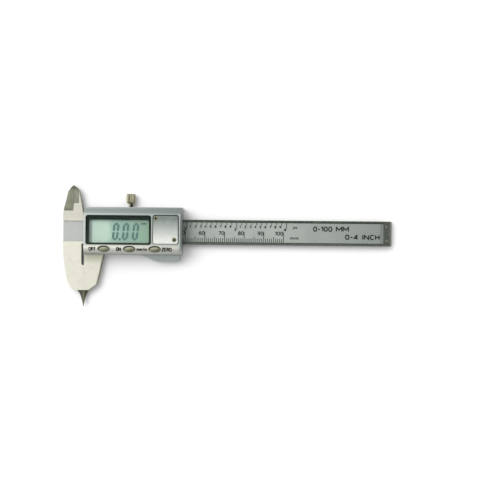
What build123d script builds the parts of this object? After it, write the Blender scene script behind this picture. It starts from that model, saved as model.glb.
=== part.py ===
from build123d import *
import math
import os

# Digital caliper, 100 mm range, with point jaws, closed.
# Frame: +X is the opening direction of the slider, +Y points to the inside jaws,
# +Z points out of the display. The origin lies on the closed measuring faces (X = 0),
# on the centreline of the beam (Y = 0) and on the slider's back face (Z = 0).
# "Front" is +Z, "right" +X and "upper" +Y. Cutting bodies run past the faces they open.

# Beam
BEAM_X0, BEAM_X1 = -10.4, 157.0      # left edge of the fixed jaw, right end of the beam
BEAM_HALF_W = 6.35
BEAM_Z0, BEAM_Z1 = 1.0, 4.0
Z_MID = (BEAM_Z0 + BEAM_Z1) / 2      # mid-plane of the jaws
FACE_GAP = 0.01                      # each measuring face stands this far off X = 0
GROOVE_X1, GROOVE_HALF_W, GROOVE_Z = 152.8, 5.3, 3.4      # scale groove
LABEL_X0, LABEL_X1, LABEL_HALF_W = 0.9, 151.3, 5.0
STRIP_Z1, LABEL_Z1 = 3.8, 3.95
ROD_GROOVE_X0, ROD_GROOVE_HALF_W, ROD_GROOVE_Z1 = 38.5, 1.1, 2.3
END_BEVEL, RAIL_BREAK = 0.9, 0.2     # front edges: free end, and both rails
STOP_X0 = 152.9
STOP_SCREWS = [(154.3, 3.6), (154.3, -3.6)]
STOP_HOLE_R = 1.02

# Outside jaws
SLOT_X0, SLOT_X1 = -1.0, 0.4         # relief slot between the jaws above the measuring faces
SLOT_Y = -17.4
POINT_Y, TIP_Y = -30.05, -38.6       # where the ground points start, and the tips
JAW_FLANK = 0.45                     # bevel of the moving jaw's outer front edge

# Inside jaws: the fixed one is the front half, the moving one the rear half
EDGE_X = -5.3                        # common line of the two inside edges when closed
KNIFE_Y0, KNIFE_Y1 = 14.2, 24.0      # reach of the knife bevel cuts
HORN_EDGE_Y0 = 14.3                  # lower end of the inside edges
HORN_TIP_Y = 23.4
HORN_ROOT_Y = 10.4                   # upper edge of the fixed jaw's root
ARM_Y0, ARM_Y1 = BEAM_HALF_W + 0.12, 10.75
HORN_FLANK = 0.45                    # bevel of the fixed horn's outer front edge
FRONT_HORN_Z0, REAR_HORN_Z1 = 2.55, 2.45

# Slider frame and back plate
FRAME_X0, FRAME_X1 = 0.5, 50.6
FRAME_Y0, FRAME_Y1 = -11.9, 12.2
FRAME_Z0, FRAME_Z1 = 0.8, 5.2
CHANNEL_Y0, CHANNEL_Y1, CHANNEL_Z1 = -6.45, 7.15, 4.1
THUMB_Y = -14.97                     # lower edge of the thumb rest
SERRATIONS, SERRATION_X0, SERRATION_PITCH = 11, 38.9, 0.95
SERRATION_Y, SERRATION_R = -15.12, 0.34
PLATE_X0, PLATE_INSET, PLATE_CORNER = 0.1, 0.1, 0.5
COVER_SCREWS = [(4.3, 9.9), (47.5, 9.9), (4.3, -8.6), (46.9, -8.6)]
PLATE_SCREWS = [(13.0, 9.7), (37.0, 9.7), (13.0, -9.2), (37.0, -9.2)]
BOARD_SCREWS = [(7.8, -8.4), (43.3, -8.4)]
GIB_SCREW_X = [8.5, 42.5]

# Depth rod
ROD_X0, ROD_HALF_W, ROD_Z0, ROD_Z1 = 40.0, 0.95, 1.15, 2.15
ROD_RIVET = (45.0, 0.0)
RIVET_HOLE_R = 0.82

# Lock screw, on an axis along Y
LOCK_X, LOCK_Z = 23.85, Z_MID
LOCK_HEAD_Y0, LOCK_HEAD_Y1, LOCK_HEAD_R = 14.2, 19.2, 2.45
LOCK_STEM_R, LOCK_NECK_R = 0.9, 1.0
KNURL_DEPTH, KNURL_TEETH = 0.34, 16

# Front cover
COVER_X0, COVER_X1 = 1.4, 50.7
COVER_Y0, COVER_Y1 = -11.6, 12.2
COVER_Z1 = 13.0
COVER_WALL, COVER_LEFT_WALL = 1.2, 0.9
TOP_BEVEL = 3.3                      # upper front edge
RIGHT_BEVEL, LEFT_BEVEL = 0.8, 0.4
EDGE_R = 4.8                         # rounding of the lower front edge
BOSS_R, BOSS_Z1 = 1.25, 9.0

# Rectangles below are (x0, x1, y0, y1)
WINDOW = (2.5, 35.3, -6.8, 8.0)      # opening for the display window
LCD_VIEW = (3.9, 34.1, -5.8, 5.75)   # clear area inside the display border
HOLDER = (2.5, 35.2, -6.9, 8.1)
BEZEL_Z0, GLASS_Z0, GLASS_Z1 = 10.9, 12.0, 12.85
LCD_Z0, LCD_Z1 = 9.2, 10.85
REFLECTOR_Z0 = 9.05

# Circuit board
BOARD_Z1 = 4.9
REST_Z = BOARD_Z1 + 0.02             # parts that stand just clear of the board
RECESS_GAP = 0.2                     # room around the board in the frame

# Battery
BATT_OPEN = (36.0, 49.15, -6.4, 8.3)  # pocket for the battery cover
BATT_LEDGE_Z, LID_Z1 = 12.05, 12.95
BATT_X, BATT_Y = 42.25, 1.17
BATT_R, BATT_H, BATT_Z0 = 5.8, 5.4, 5.3
BATT_Z1 = BATT_Z0 + BATT_H
BATT_SCREWS = [(37.6, 6.5), (46.9, -4.15)]
CONTACT_Z1 = 5.05                    # front face of the contact strips

# Buttons
BUTTON_X = [11.6, 24.4, 37.15]
BUTTON_Y = -9.0
BUTTON_W, BUTTON_H = 5.9, 2.55
BUTTON_GAP = 0.15
BUTTON_GAP_TOP = 0.42                # wider gap on the side towards the display
BUTTON_Z0 = 8.6
EAR_REACH, EAR_THICKNESS = 0.6, 0.6

# Ground point of the outside jaws: Y, half-width across X, half-thickness along Z
POINT_SECTIONS = [
    (POINT_Y, 3.30, 1.42), (-31.2, 2.30, 1.16), (-32.6, 1.58, 0.93), (-34.4, 1.00, 0.70),
    (-36.2, 0.52, 0.44), (-37.6, 0.26, 0.25), (TIP_Y, 0.09, 0.09),
]

# Outlines as (x, y)
BEAM_OUTLINE = [
    (BEAM_X0, BEAM_HALF_W), (BEAM_X1, BEAM_HALF_W),
    (BEAM_X1, -BEAM_HALF_W), (SLOT_X0, -BEAM_HALF_W),
    # relief slot
    (SLOT_X0, -15.7), (-0.93, -16.5), (-0.68, -17.05), (-0.34, -17.33), (-FACE_GAP, SLOT_Y),
    # measuring face, then the outer edge back up
    (-FACE_GAP, POINT_Y), (-3.3, POINT_Y), (-5.5, -29.45), (-6.5, -28.6), (-7.15, -27.4),
    (-7.6, -26.3), (-8.0, -25.2), (-8.6, -23.2), (-9.4, -18.8), (-10.1, -13.7),
    (BEAM_X0, -8.1),
]
FRONT_HORN_OUTLINE = [
    (BEAM_X0, BEAM_HALF_W - 0.5), (BEAM_X0, HORN_ROOT_Y), (-5.4, HORN_ROOT_Y), (-5.02, 14.2),
    (EDGE_X, HORN_EDGE_Y0), (EDGE_X, HORN_TIP_Y - 0.15), (-5.0, HORN_TIP_Y - 0.05),
    (-4.3, 22.75), (-3.3, 22.05), (-2.45, 21.3), (-1.95, 20.2), (-1.4, 17.7), (-1.0, 15.6),
    (-0.5, 13.0), (-0.05, 10.4), (0.3, 8.0), (0.3, BEAM_HALF_W - 0.5),
]
FRAME_OUTLINE = [
    (FRAME_X0, FRAME_Y1), (FRAME_X1, FRAME_Y1),
    # thumb rest, from right to left
    (FRAME_X1, -10.6), (49.8, -11.2), (49.35, FRAME_Y0), (49.2, -14.1), (48.75, -14.72),
    (48.0, THUMB_Y), (38.2, THUMB_Y), (37.1, -14.85), (35.4, -14.35), (33.9, -13.65),
    (32.5, -12.9), (31.0, -12.35), (29.6, -12.02), (28.0, FRAME_Y0),
    (SLOT_X1, FRAME_Y0), (SLOT_X1, -BEAM_HALF_W - 0.1), (FRAME_X0, -BEAM_HALF_W - 0.1),
]
LOWER_JAW_OUTLINE = [
    (SLOT_X1, -9.0), (SLOT_X1, -16.5), (0.32, -16.9), (0.2, -17.25), (FACE_GAP, SLOT_Y),
    (FACE_GAP, POINT_Y), (3.25, POINT_Y), (3.95, -29.55), (6.5, -27.7), (7.1, -26.95),
    (7.5, -25.2), (7.98, -23.1), (8.75, -20.0), (9.3, -16.9), (10.0, -13.8), (10.5, -11.9),
    (11.0, -9.0),
]
ARM_OUTLINE = [
    (FRAME_X0 + 1.5, ARM_Y0), (-10.45, ARM_Y0), (-10.47, 11.5), (-10.21, 12.5),
    (-9.68, 14.6), (-9.1, 16.6), (-8.9, 17.65), (-8.6, 18.7), (-8.4, 19.7), (-8.05, 20.7),
    (-7.3, 21.65), (-6.4, 22.7), (-5.75, HORN_TIP_Y - 0.1), (EDGE_X, HORN_TIP_Y - 0.05),
    (EDGE_X, HORN_EDGE_Y0), (-4.95, 12.2), (-4.4, 11.3), (-3.5, ARM_Y1),
    (FRAME_X0 + 1.5, ARM_Y1),
]


# Helpers
def box(x0, x1, y0, y1, z0, z1):
    return Pos((x0 + x1) / 2, (y0 + y1) / 2, (z0 + z1) / 2) * Box(x1 - x0, y1 - y0, z1 - z0)


def prism(outline, z0, z1):
    """Closed outline in X, Y, raised from z0 to z1."""
    face = make_face(Polyline(*[(x, y, z0) for x, y in outline], close=True))
    return extrude(face, amount=z1 - z0, dir=(0, 0, 1))


def prism_x(outline, x0, x1):
    """Closed outline in Y, Z, drawn out from x0 to x1."""
    face = make_face(Polyline(*[(x0, y, z) for y, z in outline], close=True))
    return extrude(face, amount=x1 - x0, dir=(1, 0, 0))


def prism_y(outline, y0, y1):
    """Closed outline in X, Z, drawn out from y0 to y1."""
    face = make_face(Polyline(*[(x, y0, z) for x, z in outline], close=True))
    return extrude(face, amount=y1 - y0, dir=(0, 1, 0))


def rounded(x0, x1, y0, y1, z0, z1, radius):
    sketch = Pos((x0 + x1) / 2, (y0 + y1) / 2, z0) * RectangleRounded(x1 - x0, y1 - y0, radius)
    return extrude(sketch, amount=z1 - z0, dir=(0, 0, 1))


def cyl(x, y, z0, z1, radius):
    return Pos(x, y, (z0 + z1) / 2) * Cylinder(radius, z1 - z0)


def cyl_y(x, z, y0, y1, radius):
    return Pos(x, (y0 + y1) / 2, z) * (Rot(90, 0, 0) * Cylinder(radius, y1 - y0))


def cyl_x(y, z, x0, x1, radius):
    return Pos((x0 + x1) / 2, y, z) * (Rot(0, 90, 0) * Cylinder(radius, x1 - x0))


def cone(x, y, z0, z1, radius0, radius1):
    return Pos(x, y, (z0 + z1) / 2) * Cone(radius0, radius1, z1 - z0)


def oval(x, y, width, height, z0, z1):
    """Elliptical prism."""
    return extrude(Pos(x, y, z0) * Ellipse(width / 2, height / 2), amount=z1 - z0, dir=(0, 0, 1))


def cross_screws(places, shank, head, slot):
    """Countersunk screws with a cross slot.

    shank: z0, z1, radius; head: z0, z1, radius0, radius1;
    slot: half-width, half-length, z0, z1.
    """
    half_width, half_length, z0, z1 = slot
    screws = []
    for x, y in places:
        screw = cyl(x, y, *shank) + cone(x, y, *head)
        screw = screw - box(x - half_width, x + half_width, y - half_length, y + half_length, z0, z1)
        screw = screw - box(x - half_length, x + half_length, y - half_width, y + half_width, z0, z1)
        screws.append(screw)
    return screws


def save(name, *shapes):
    """Write the solids of the shapes as one piece."""
    solids = [solid for shape in shapes for solid in shape.solids()]
    if len(solids) == 1:
        piece = solids[0]
    else:
        piece = Compound(children=[Solid(solid.wrapped) for solid in solids])
    export_step(piece, f"parts/{name}.step")


# Beam with the fixed jaws
def point_half(x0, x1):
    """The part of the hollow-ground point between x0 and x1."""
    sections = []
    for y, half_width, half_thickness in POINT_SECTIONS:
        plane = Plane(origin=(0, y, Z_MID), x_dir=(1, 0, 0), z_dir=(0, -1, 0))
        sections.append(plane * Ellipse(half_width, half_thickness))
    return loft(sections) & box(x0, x1, -39, POINT_Y, 0, 5)


def front_horn():
    """Fixed inside jaw, front half only."""
    horn = prism(FRONT_HORN_OUTLINE, FRONT_HORN_Z0, BEAM_Z1)
    # sloping flank on the side away from the measuring edge
    flank = horn.edges().filter_by(
        lambda e: abs(e.center().Z - BEAM_Z1) < 1e-6 and e.center().X > -3.0 and e.center().Y > 8.5
    )
    horn = chamfer(flank, HORN_FLANK)
    bevel_x0, bevel_x1 = EDGE_X - 0.6, -2.45
    knife_bevel = prism_y(
        [(bevel_x0, FRONT_HORN_Z0 - 0.10), (bevel_x1, BEAM_Z1), (bevel_x1, 6.0), (bevel_x0, 6.0)],
        KNIFE_Y0, KNIFE_Y1,
    )
    # the tip is bevelled as well, so that the point is thin
    tip_bevel = prism_x(
        [(21.0, BEAM_Z1), (24.0, FRONT_HORN_Z0 - 0.2), (24.0, 6.0), (21.0, 6.0)], -12, 2
    )
    return horn - knife_bevel - tip_bevel


def beam():
    body = prism(BEAM_OUTLINE, BEAM_Z0, BEAM_Z1)
    body = body + front_horn() + point_half(-5, -FACE_GAP)
    # scale groove along the front, open at the left end
    body = body - box(
        BEAM_X0 - 1, GROOVE_X1, -GROOVE_HALF_W, GROOVE_HALF_W, GROOVE_Z, BEAM_Z1 + 1
    )
    # groove for the depth rod along the back
    body = body - box(
        ROD_GROOVE_X0, BEAM_X1 + 1, -ROD_GROOVE_HALF_W, ROD_GROOVE_HALF_W, 0, ROD_GROOVE_Z1
    )
    for x, y in STOP_SCREWS:
        body = body - cyl(x, y, 0, 5, STOP_HOLE_R)
    # bevel across the free end
    bevel_x = BEAM_X1 - END_BEVEL
    body = body - prism_y(
        [(bevel_x, BEAM_Z1 + 0.01), (BEAM_X1 + 0.01, BEAM_Z1 - END_BEVEL),
         (BEAM_X1 + 0.5, 6.0), (bevel_x, 6.0)],
        -8, 8,
    )
    # small edge breaks along the rails
    break_y = BEAM_HALF_W - RAIL_BREAK
    for side in (1, -1):
        body = body - prism_x(
            [(side * break_y, BEAM_Z1), (side * BEAM_HALF_W, BEAM_Z1 - RAIL_BREAK),
             (side * (BEAM_HALF_W + 0.5), 4.5), (side * break_y, 4.5)],
            0.6, BEAM_X1 + 1,
        )
    return body


def label_layer(z0, z1):
    return box(LABEL_X0, LABEL_X1, -LABEL_HALF_W, LABEL_HALF_W, z0, z1)


def end_stop():
    body = rounded(STOP_X0, BEAM_X1, -6.3, 6.3, 0.0, BEAM_Z0, 0.6)
    for x, y in STOP_SCREWS:
        body = body - cyl(x, y, -1, 2, STOP_HOLE_R) - cone(x, y, -0.001, 0.9, 1.92, STOP_HOLE_R)
    return body


# Slider frame with the moving jaws
def board_outline(gap=0.0):
    """Outline of the circuit board, grown outwards by the gap."""
    left, right, top = 2.4 - gap, 48.6 + gap, 8.2 + gap
    tab_left, tab_right = 6.2 - gap, 44.9 + gap
    shoulder, bottom = -7.0 - gap, -9.8 - gap
    return [
        (left, top), (right, top), (right, shoulder), (tab_right, shoulder),
        (tab_right, bottom), (tab_left, bottom), (tab_left, shoulder), (left, shoulder),
    ]


def lower_jaw():
    jaw = prism(LOWER_JAW_OUTLINE, BEAM_Z0, BEAM_Z1)
    flank = jaw.edges().filter_by(
        lambda e: abs(e.center().Z - BEAM_Z1) < 1e-6 and e.center().X > 3.4 and e.center().Y < -9.5
    )
    return chamfer(flank, JAW_FLANK)


def rear_arm():
    """Moving inside jaw, rear half: an arm behind the fixed jaw's root, then the horn."""
    arm = prism(ARM_OUTLINE, BEAM_Z0, REAR_HORN_Z1)
    # relief on the horn's front, away from the edge
    relief_x = EDGE_X - 0.35
    arm = arm - prism_y(
        [(relief_x, REAR_HORN_Z1), (-10.5, REAR_HORN_Z1 - 0.42), (-11, 3.5), (relief_x, 3.5)],
        HORN_ROOT_Y - 0.1, KNIFE_Y1,
    )
    # knife bevel on its back
    bevel_x0, bevel_x1 = -7.7, EDGE_X + 0.6
    return arm - prism_y(
        [(bevel_x1, REAR_HORN_Z1 + 0.10), (bevel_x0, BEAM_Z0), (bevel_x0, -1.0), (bevel_x1, -1.0)],
        KNIFE_Y0, KNIFE_Y1,
    )


def slider_frame():
    body = prism(FRAME_OUTLINE, FRAME_Z0, FRAME_Z1)
    # channel for the beam, closed at the back by the back plate
    body = body - box(-1, 52, CHANNEL_Y0, CHANNEL_Y1, 0, CHANNEL_Z1)
    # recess for the circuit board, open to the channel
    body = body - prism(board_outline(RECESS_GAP), CHANNEL_Z1, FRAME_Z1 + 1)
    # solid foot that joins the arm to the frame beside the beam
    foot = box(FRAME_X0, 2.6, CHANNEL_Y1, ARM_Y1, FRAME_Z0, REAR_HORN_Z1)
    body = body + lower_jaw() + rear_arm() + foot + point_half(FACE_GAP, 5)
    # serrations along the thumb rest's lower edge
    for i in range(SERRATIONS):
        x = SERRATION_X0 + SERRATION_PITCH * i
        body = body - cyl(x, SERRATION_Y, -1, 7, SERRATION_R)
    # screw holes
    for x, y in COVER_SCREWS:
        body = body - cyl(x, y, 0, 6, 0.8)
        body = body - cone(x, y, FRAME_Z0 - 0.001, FRAME_Z0 + 0.85, 1.62, 0.8)
    for x, y in PLATE_SCREWS:
        body = body - cyl(x, y, 0, 3.62, 0.77)
    for x, y in BOARD_SCREWS:
        body = body - cyl(x, y, 1.9, 5, 0.62)
    for x in GIB_SCREW_X:
        body = body - cyl_y(x, LOCK_Z, CHANNEL_Y1 - 0.5, FRAME_Y1 + 1, 0.92)
    return body - cyl_y(LOCK_X, LOCK_Z, CHANNEL_Y1 - 0.5, FRAME_Y1 + 1, LOCK_STEM_R + 0.05)


def back_plate():
    x1, y0, y1 = FRAME_X1 - PLATE_INSET, FRAME_Y0 + PLATE_INSET, FRAME_Y1 - PLATE_INSET
    outline = [
        (PLATE_X0, y1), (x1, y1), (x1, FRAME_Y0 + 0.5), (x1 - PLATE_CORNER, y0), (PLATE_X0, y0)
    ]
    body = prism(outline, 0.0, FRAME_Z0)
    for x, y in PLATE_SCREWS:
        body = body - cyl(x, y, -1, 2, 0.8) - cone(x, y, -0.001, 0.7, 1.52, 0.8)
    body = body - cyl(*ROD_RIVET, -1, 2, RIVET_HOLE_R)
    return body - cone(*ROD_RIVET, -0.001, 0.6, 1.42, RIVET_HOLE_R)


# Gib screws and lock screw
def gib_screw(x):
    body = cyl_y(x, LOCK_Z, CHANNEL_Y1 - 0.08, 11.7, 0.9)
    return body - box(x - 0.14, x + 0.14, 11.2, 12.0, 1.0, 4.0)


def knurled_bar(y0, y1):
    """Toothed bar on the lock screw's axis."""
    outline = []
    for i in range(KNURL_TEETH):
        for step, radius in ((i, LOCK_HEAD_R), (i + 0.5, LOCK_HEAD_R - KNURL_DEPTH)):
            angle = 2 * math.pi * step / KNURL_TEETH
            outline.append((LOCK_X + radius * math.cos(angle), LOCK_Z + radius * math.sin(angle)))
    return prism_y(outline, y0, y1)


def turned_y(profile):
    """Outline of radius and Y, turned about the lock screw's axis."""
    points = [(LOCK_X + radius, y, LOCK_Z) for radius, y in profile]
    face = make_face(Polyline(*points, close=True))
    return revolve(face, axis=Axis((LOCK_X, 0, LOCK_Z), (0, 1, 0)), revolution_arc=360)


def lock_screw():
    y0, y1, radius = LOCK_HEAD_Y0, LOCK_HEAD_Y1, LOCK_HEAD_R
    envelope = turned_y([
        (0, y0), (1.5, y0), (radius, y0 + 0.75), (radius, y1 - 0.55), (radius - 0.55, y1), (0, y1)
    ])
    head = knurled_bar(y0, y1) & envelope
    # plain neck between frame and head, and the stem through the frame to the gib
    neck = cyl_y(LOCK_X, LOCK_Z, FRAME_Y1 + 0.6, y0 + 0.3, LOCK_NECK_R)
    stem = cyl_y(LOCK_X, LOCK_Z, CHANNEL_Y1 - 0.05, y0 + 0.3, LOCK_STEM_R)
    dimple = cyl_y(LOCK_X, LOCK_Z, y1 - 0.25, y1 + 1, 1.3)
    return (head + neck + stem) - dimple


# Front cover
def cover_profile(inset):
    """Section in Y, Z, moved inwards by the inset."""
    y0, y1, z1 = COVER_Y0 + inset, COVER_Y1 - inset, COVER_Z1 - inset
    radius = EDGE_R - inset
    bevel = TOP_BEVEL - inset * (2 - math.sqrt(2))
    points = [(y1, FRAME_Z1), (y1, z1 - bevel), (y1 - bevel, z1)]
    arc_steps = 16
    for i in range(arc_steps + 1):
        angle = math.radians(90 + 90 * i / arc_steps)
        points.append((y0 + radius + radius * math.cos(angle),
                       z1 - radius + radius * math.sin(angle)))
    return points + [(y0, FRAME_Z1)]


def cover_shell():
    shell = prism_x(cover_profile(0.0), COVER_X0, COVER_X1)
    # bevels of the right and left front edges
    right_x, left_x = COVER_X1 - RIGHT_BEVEL, COVER_X0 + LEFT_BEVEL
    shell = shell - prism_y(
        [(right_x, COVER_Z1), (COVER_X1, COVER_Z1 - RIGHT_BEVEL * 1.4),
         (COVER_X1 + 1, COVER_Z1 - RIGHT_BEVEL), (COVER_X1 + 1, 15), (right_x, 15)],
        -20, 20,
    )
    shell = shell - prism_y(
        [(COVER_X0, COVER_Z1 - LEFT_BEVEL), (left_x, COVER_Z1), (left_x, 15),
         (COVER_X0 - 1, 15), (COVER_X0 - 1, COVER_Z1 - LEFT_BEVEL)],
        -20, 20,
    )
    cavity = prism_x(
        cover_profile(COVER_WALL), COVER_X0 + COVER_LEFT_WALL, COVER_X1 - COVER_WALL
    )
    # thicker wall at the right front corner
    cavity = cavity - box(48.6, 52, -20, 20, 10.6, 15)
    return shell - cavity


def front_cover():
    body = cover_shell()
    # web around the battery, and bosses for the battery-cover screws
    body = body + box(35.7, 50.0, -7.0, 8.5, 10.85, 12.4)
    for x, y in BATT_SCREWS:
        body = body + cyl(x, y, 9.6, 11.0, 1.0)
    # bosses for the cover screws, the lower ones tied to the wall
    for x, y in COVER_SCREWS:
        body = body + cyl(x, y, FRAME_Z1, BOSS_Z1, BOSS_R)
        if y < 0:
            body = body + box(x - 0.9, x + 0.9, COVER_Y0 + 0.6, y, FRAME_Z1, BOSS_Z1)
    # openings
    body = body - rounded(*WINDOW, 10.0, 15.0, 1.2)
    body = body - rounded(*BATT_OPEN, BATT_LEDGE_Z, 15.0, 1.3)
    body = body - cyl(BATT_X, BATT_Y, 9.0, 14.0, BATT_R + 0.25)
    for x, y in BATT_SCREWS:
        body = body - cyl(x, y, 9.4, 13.0, 0.72)
    for x, y in COVER_SCREWS:
        body = body - cyl(x, y, 4.0, 8.62, 0.77)
    width, height = BUTTON_W + 2 * BUTTON_GAP, BUTTON_H + 2 * BUTTON_GAP
    for x in BUTTON_X:
        for shift in (0, BUTTON_GAP_TOP - BUTTON_GAP):
            body = body - oval(x, BUTTON_Y + shift, width, height, 8.0, 15.0)
    return body


def cover_screw(x, y):
    body = cyl(x, y, 1.2, 8.5, 0.75) + cone(x, y, FRAME_Z0 + 0.05, FRAME_Z0 + 0.85, 1.54, 0.75)
    return body - box(x - 0.13, x + 0.13, y - 2, y + 2, 0.7, FRAME_Z0 + 0.35)


# Display
def window_layer(z0, z1):
    """Rounded plate that fits the window opening."""
    x0, x1, y0, y1 = WINDOW
    gap = 0.1
    return rounded(x0 + gap, x1 - gap, y0 + gap, y1 - gap, z0, z1, 1.1)


def display_bezel():
    return window_layer(BEZEL_Z0, GLASS_Z0) - rounded(*LCD_VIEW, 10.0, 13.0, 0.5)


def lcd_holder():
    body = box(*HOLDER, 8.0, LCD_Z1)
    body = body - box(3.2, 34.5, -6.5, 7.0, 9.0, 12.0) - box(4.2, 33.6, -5.6, 7.0, 7.0, 10.0)
    # a foot at each corner, down to the board
    x0, x1, y0, y1 = HOLDER
    foot = 1.2
    for x in (x0, x1 - foot):
        for y in (y0, y1 - foot):
            body = body + box(x, x + foot, y, y + foot, BOARD_Z1, 8.5)
    return body


# Circuit board and its parts
def circuit_board():
    body = prism(board_outline(), CHANNEL_Z1, BOARD_Z1)
    for x, y in BOARD_SCREWS:
        body = body - cyl(x, y, 3, 6, 0.75)
    return body


def board_screw(x, y):
    body = cyl(x, y, 2.0, 5.2, 0.6) + cyl(x, y, BOARD_Z1, 5.5, 1.1)
    return body - box(x - 0.15, x + 0.15, y - 2, y + 2, 5.25, 6)


def chip_blob():
    blob = Pos(13.5, 0.0, BOARD_Z1) * scale(Sphere(3.2), by=(1, 1, 0.45))
    return blob & box(8, 20, -5, 5, BOARD_Z1, 8)


def capacitors():
    places = [
        (21.5, 23.5, 0.4, 1.6), (25.4, 27.4, 0.4, 1.6),
        (29.0, 30.2, -2.6, -0.6), (29.0, 30.2, 1.4, 3.4),
    ]
    return [box(*place, BOARD_Z1, 5.7) for place in places]


def keypad():
    """Silicone key strip with one post under each button."""
    body = rounded(9.6, 41.2, -9.7, -7.1, REST_Z, 5.9, 0.6)
    for x in BUTTON_X:
        body = body + cone(x, -8.6, 5.5, 8.2, 1.1, 0.8)
    return body


def button(x):
    """Oval domed cap, with ears behind the cover's front wall that hold it in."""
    cap = oval(x, BUTTON_Y, BUTTON_W, BUTTON_H, BUTTON_Z0, 14.0)
    # the dome follows the rounded edge of the cover and dips below it at its rim
    dome = Pos(x, BUTTON_Y + 0.1, 7.2) * scale(Sphere(1.0), by=(6.2, 3.7, 5.25))
    cap = cap & (dome + oval(x, BUTTON_Y, BUTTON_W, BUTTON_H, BUTTON_Z0, 9.0))
    half_width = BUTTON_W / 2 + EAR_REACH
    ears = box(
        x - half_width, x + half_width, BUTTON_Y - 0.75, BUTTON_Y + 1.15,
        BUTTON_Z0, BUTTON_Z0 + EAR_THICKNESS,
    )
    return cap + ears


# Battery
def battery_cell():
    body = cyl(BATT_X, BATT_Y, BATT_Z0 + 0.5, BATT_Z1, BATT_R)
    return body + cyl(BATT_X, BATT_Y, BATT_Z0, BATT_Z0 + 0.6, BATT_R - 0.9)


def negative_contact():
    x, y = BATT_X, BATT_Y
    body = cyl(x, y, BOARD_Z1, CONTACT_Z1, 2.6)
    body = body + box(x - 3.4, x + 3.4, y - 0.8, y + 0.8, BOARD_Z1, CONTACT_Z1)
    return body + cone(x, y, 5.0, 5.28, 1.4, 0.7)


def positive_contact():
    """Strip on the board with an upright leaf at its right end."""
    y0, y1 = BATT_Y - 1.5, BATT_Y + 1.5
    strip = box(46.4, 48.4, y0, y1, BOARD_Z1, CONTACT_Z1)
    return strip + box(48.2, 48.4, y0, y1, BOARD_Z1, 9.5)


def battery_cover():
    x0, x1, y0, y1 = BATT_OPEN
    lid = rounded(
        x0 + 0.22, x1 - 0.38, y0 + 0.15, y1 - 0.36, BATT_LEDGE_Z + 0.01, LID_Z1, 1.1
    )
    front_edges = lid.edges().filter_by(lambda e: abs(e.center().Z - LID_Z1) < 1e-6)
    lid = chamfer(front_edges, 0.15)
    for x, y in BATT_SCREWS:
        lid = lid - cyl(x, y, 11, 14, 0.75) - cone(x, y, 12.3, LID_Z1 + 0.001, 0.75, 1.22)
    return lid


# Depth rod
def depth_rod():
    body = box(ROD_X0, BEAM_X1, -ROD_HALF_W, ROD_HALF_W, ROD_Z0, ROD_Z1)
    # bevel on the back of the free end
    x0, x1 = BEAM_X1 - 1.6, BEAM_X1 + 0.1
    body = body - prism_y([(x0, 1.1), (x1, 1.65), (x1, 1.0), (x0, 1.0)], -2, 2)
    return body - cyl(*ROD_RIVET, 0, 4, RIVET_HOLE_R)


def depth_rod_rivet():
    return cyl(*ROD_RIVET, 0.3, ROD_Z1, 0.8) + cone(*ROD_RIVET, 0.03, 0.6, 1.36, 0.8)


# Write every piece
os.makedirs("parts", exist_ok=True)

save("beam", beam())
save("scale_strip", label_layer(GROOVE_Z, STRIP_Z1))
save("scale_label", label_layer(STRIP_Z1, LABEL_Z1))
save("end_stop", end_stop())
save("end_stop_screws", *cross_screws(
    STOP_SCREWS, shank=(0.5, BEAM_Z1, 1.0), head=(0.05, 0.9, 1.84, 1.0), slot=(0.15, 2, 0, 0.35)
))
save("slider_frame", slider_frame())
save("back_plate", back_plate())
save("back_plate_screws", *cross_screws(
    PLATE_SCREWS, shank=(0.4, 3.6, 0.75), head=(0.03, 0.7, 1.44, 0.75), slot=(0.13, 2, 0, 0.3)
))
save("gib_strip", box(2.0, 49.0, BEAM_HALF_W + 0.05, CHANNEL_Y1 - 0.1, 1.15, 3.85))
save("gib_screws", *[gib_screw(x) for x in GIB_SCREW_X])
save("lock_screw", lock_screw())
save("front_cover", front_cover())
save("cover_screws", *[cover_screw(x, y) for x, y in COVER_SCREWS])
save("display_window", window_layer(GLASS_Z0, GLASS_Z1))
save("display_bezel", display_bezel())
save("lcd_panel", box(3.3, 34.4, -6.4, 6.9, LCD_Z0, LCD_Z1))
save("lcd_reflector", box(3.6, 34.1, -6.1, 4.9, REFLECTOR_Z0, LCD_Z0))
save("lcd_holder", lcd_holder())
save("zebra_connectors", box(5.2, 33.4, 5.3, 6.85, REST_Z, 9.18))
save("circuit_board", circuit_board())
save("board_screws", *[board_screw(x, y) for x, y in BOARD_SCREWS])
save("chip_blob", chip_blob())
save("crystal", cyl_x(-3.4, 5.75, 21.0, 26.4, 0.8))
save("capacitors", *capacitors())
save("keypad", keypad())
for key, x in zip(("power", "units", "zero"), BUTTON_X):
    save(f"button_{key}", button(x))
save("battery_cell", battery_cell())
save("battery_contact_negative", negative_contact())
save("battery_contact_positive", positive_contact())
save("battery_pad", cyl(BATT_X, BATT_Y, BATT_Z1 + 0.05, 12.0, 4.4))
save("battery_cover", battery_cover())
save("battery_cover_screws", *cross_screws(
    BATT_SCREWS, shank=(9.8, 12.6, 0.7), head=(12.3, 12.9, 0.7, 1.14), slot=(0.2, 0.8, 12.45, 13)
))
save("depth_rod", depth_rod())
save("depth_rod_rivet", depth_rod_rivet())
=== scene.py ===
"""A digital caliper with its display, lying on a white floor.

The beam runs along +x from the jaws, the inside jaws point up (+y) and the outside jaws down (-y).
The front, with the display and the printed scale, faces +z. The script's places are millimetres
in this frame, turned to metres by MM; only the floor, camera and lights are given in metres.
"""
import math
from functools import cached_property, reduce

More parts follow.
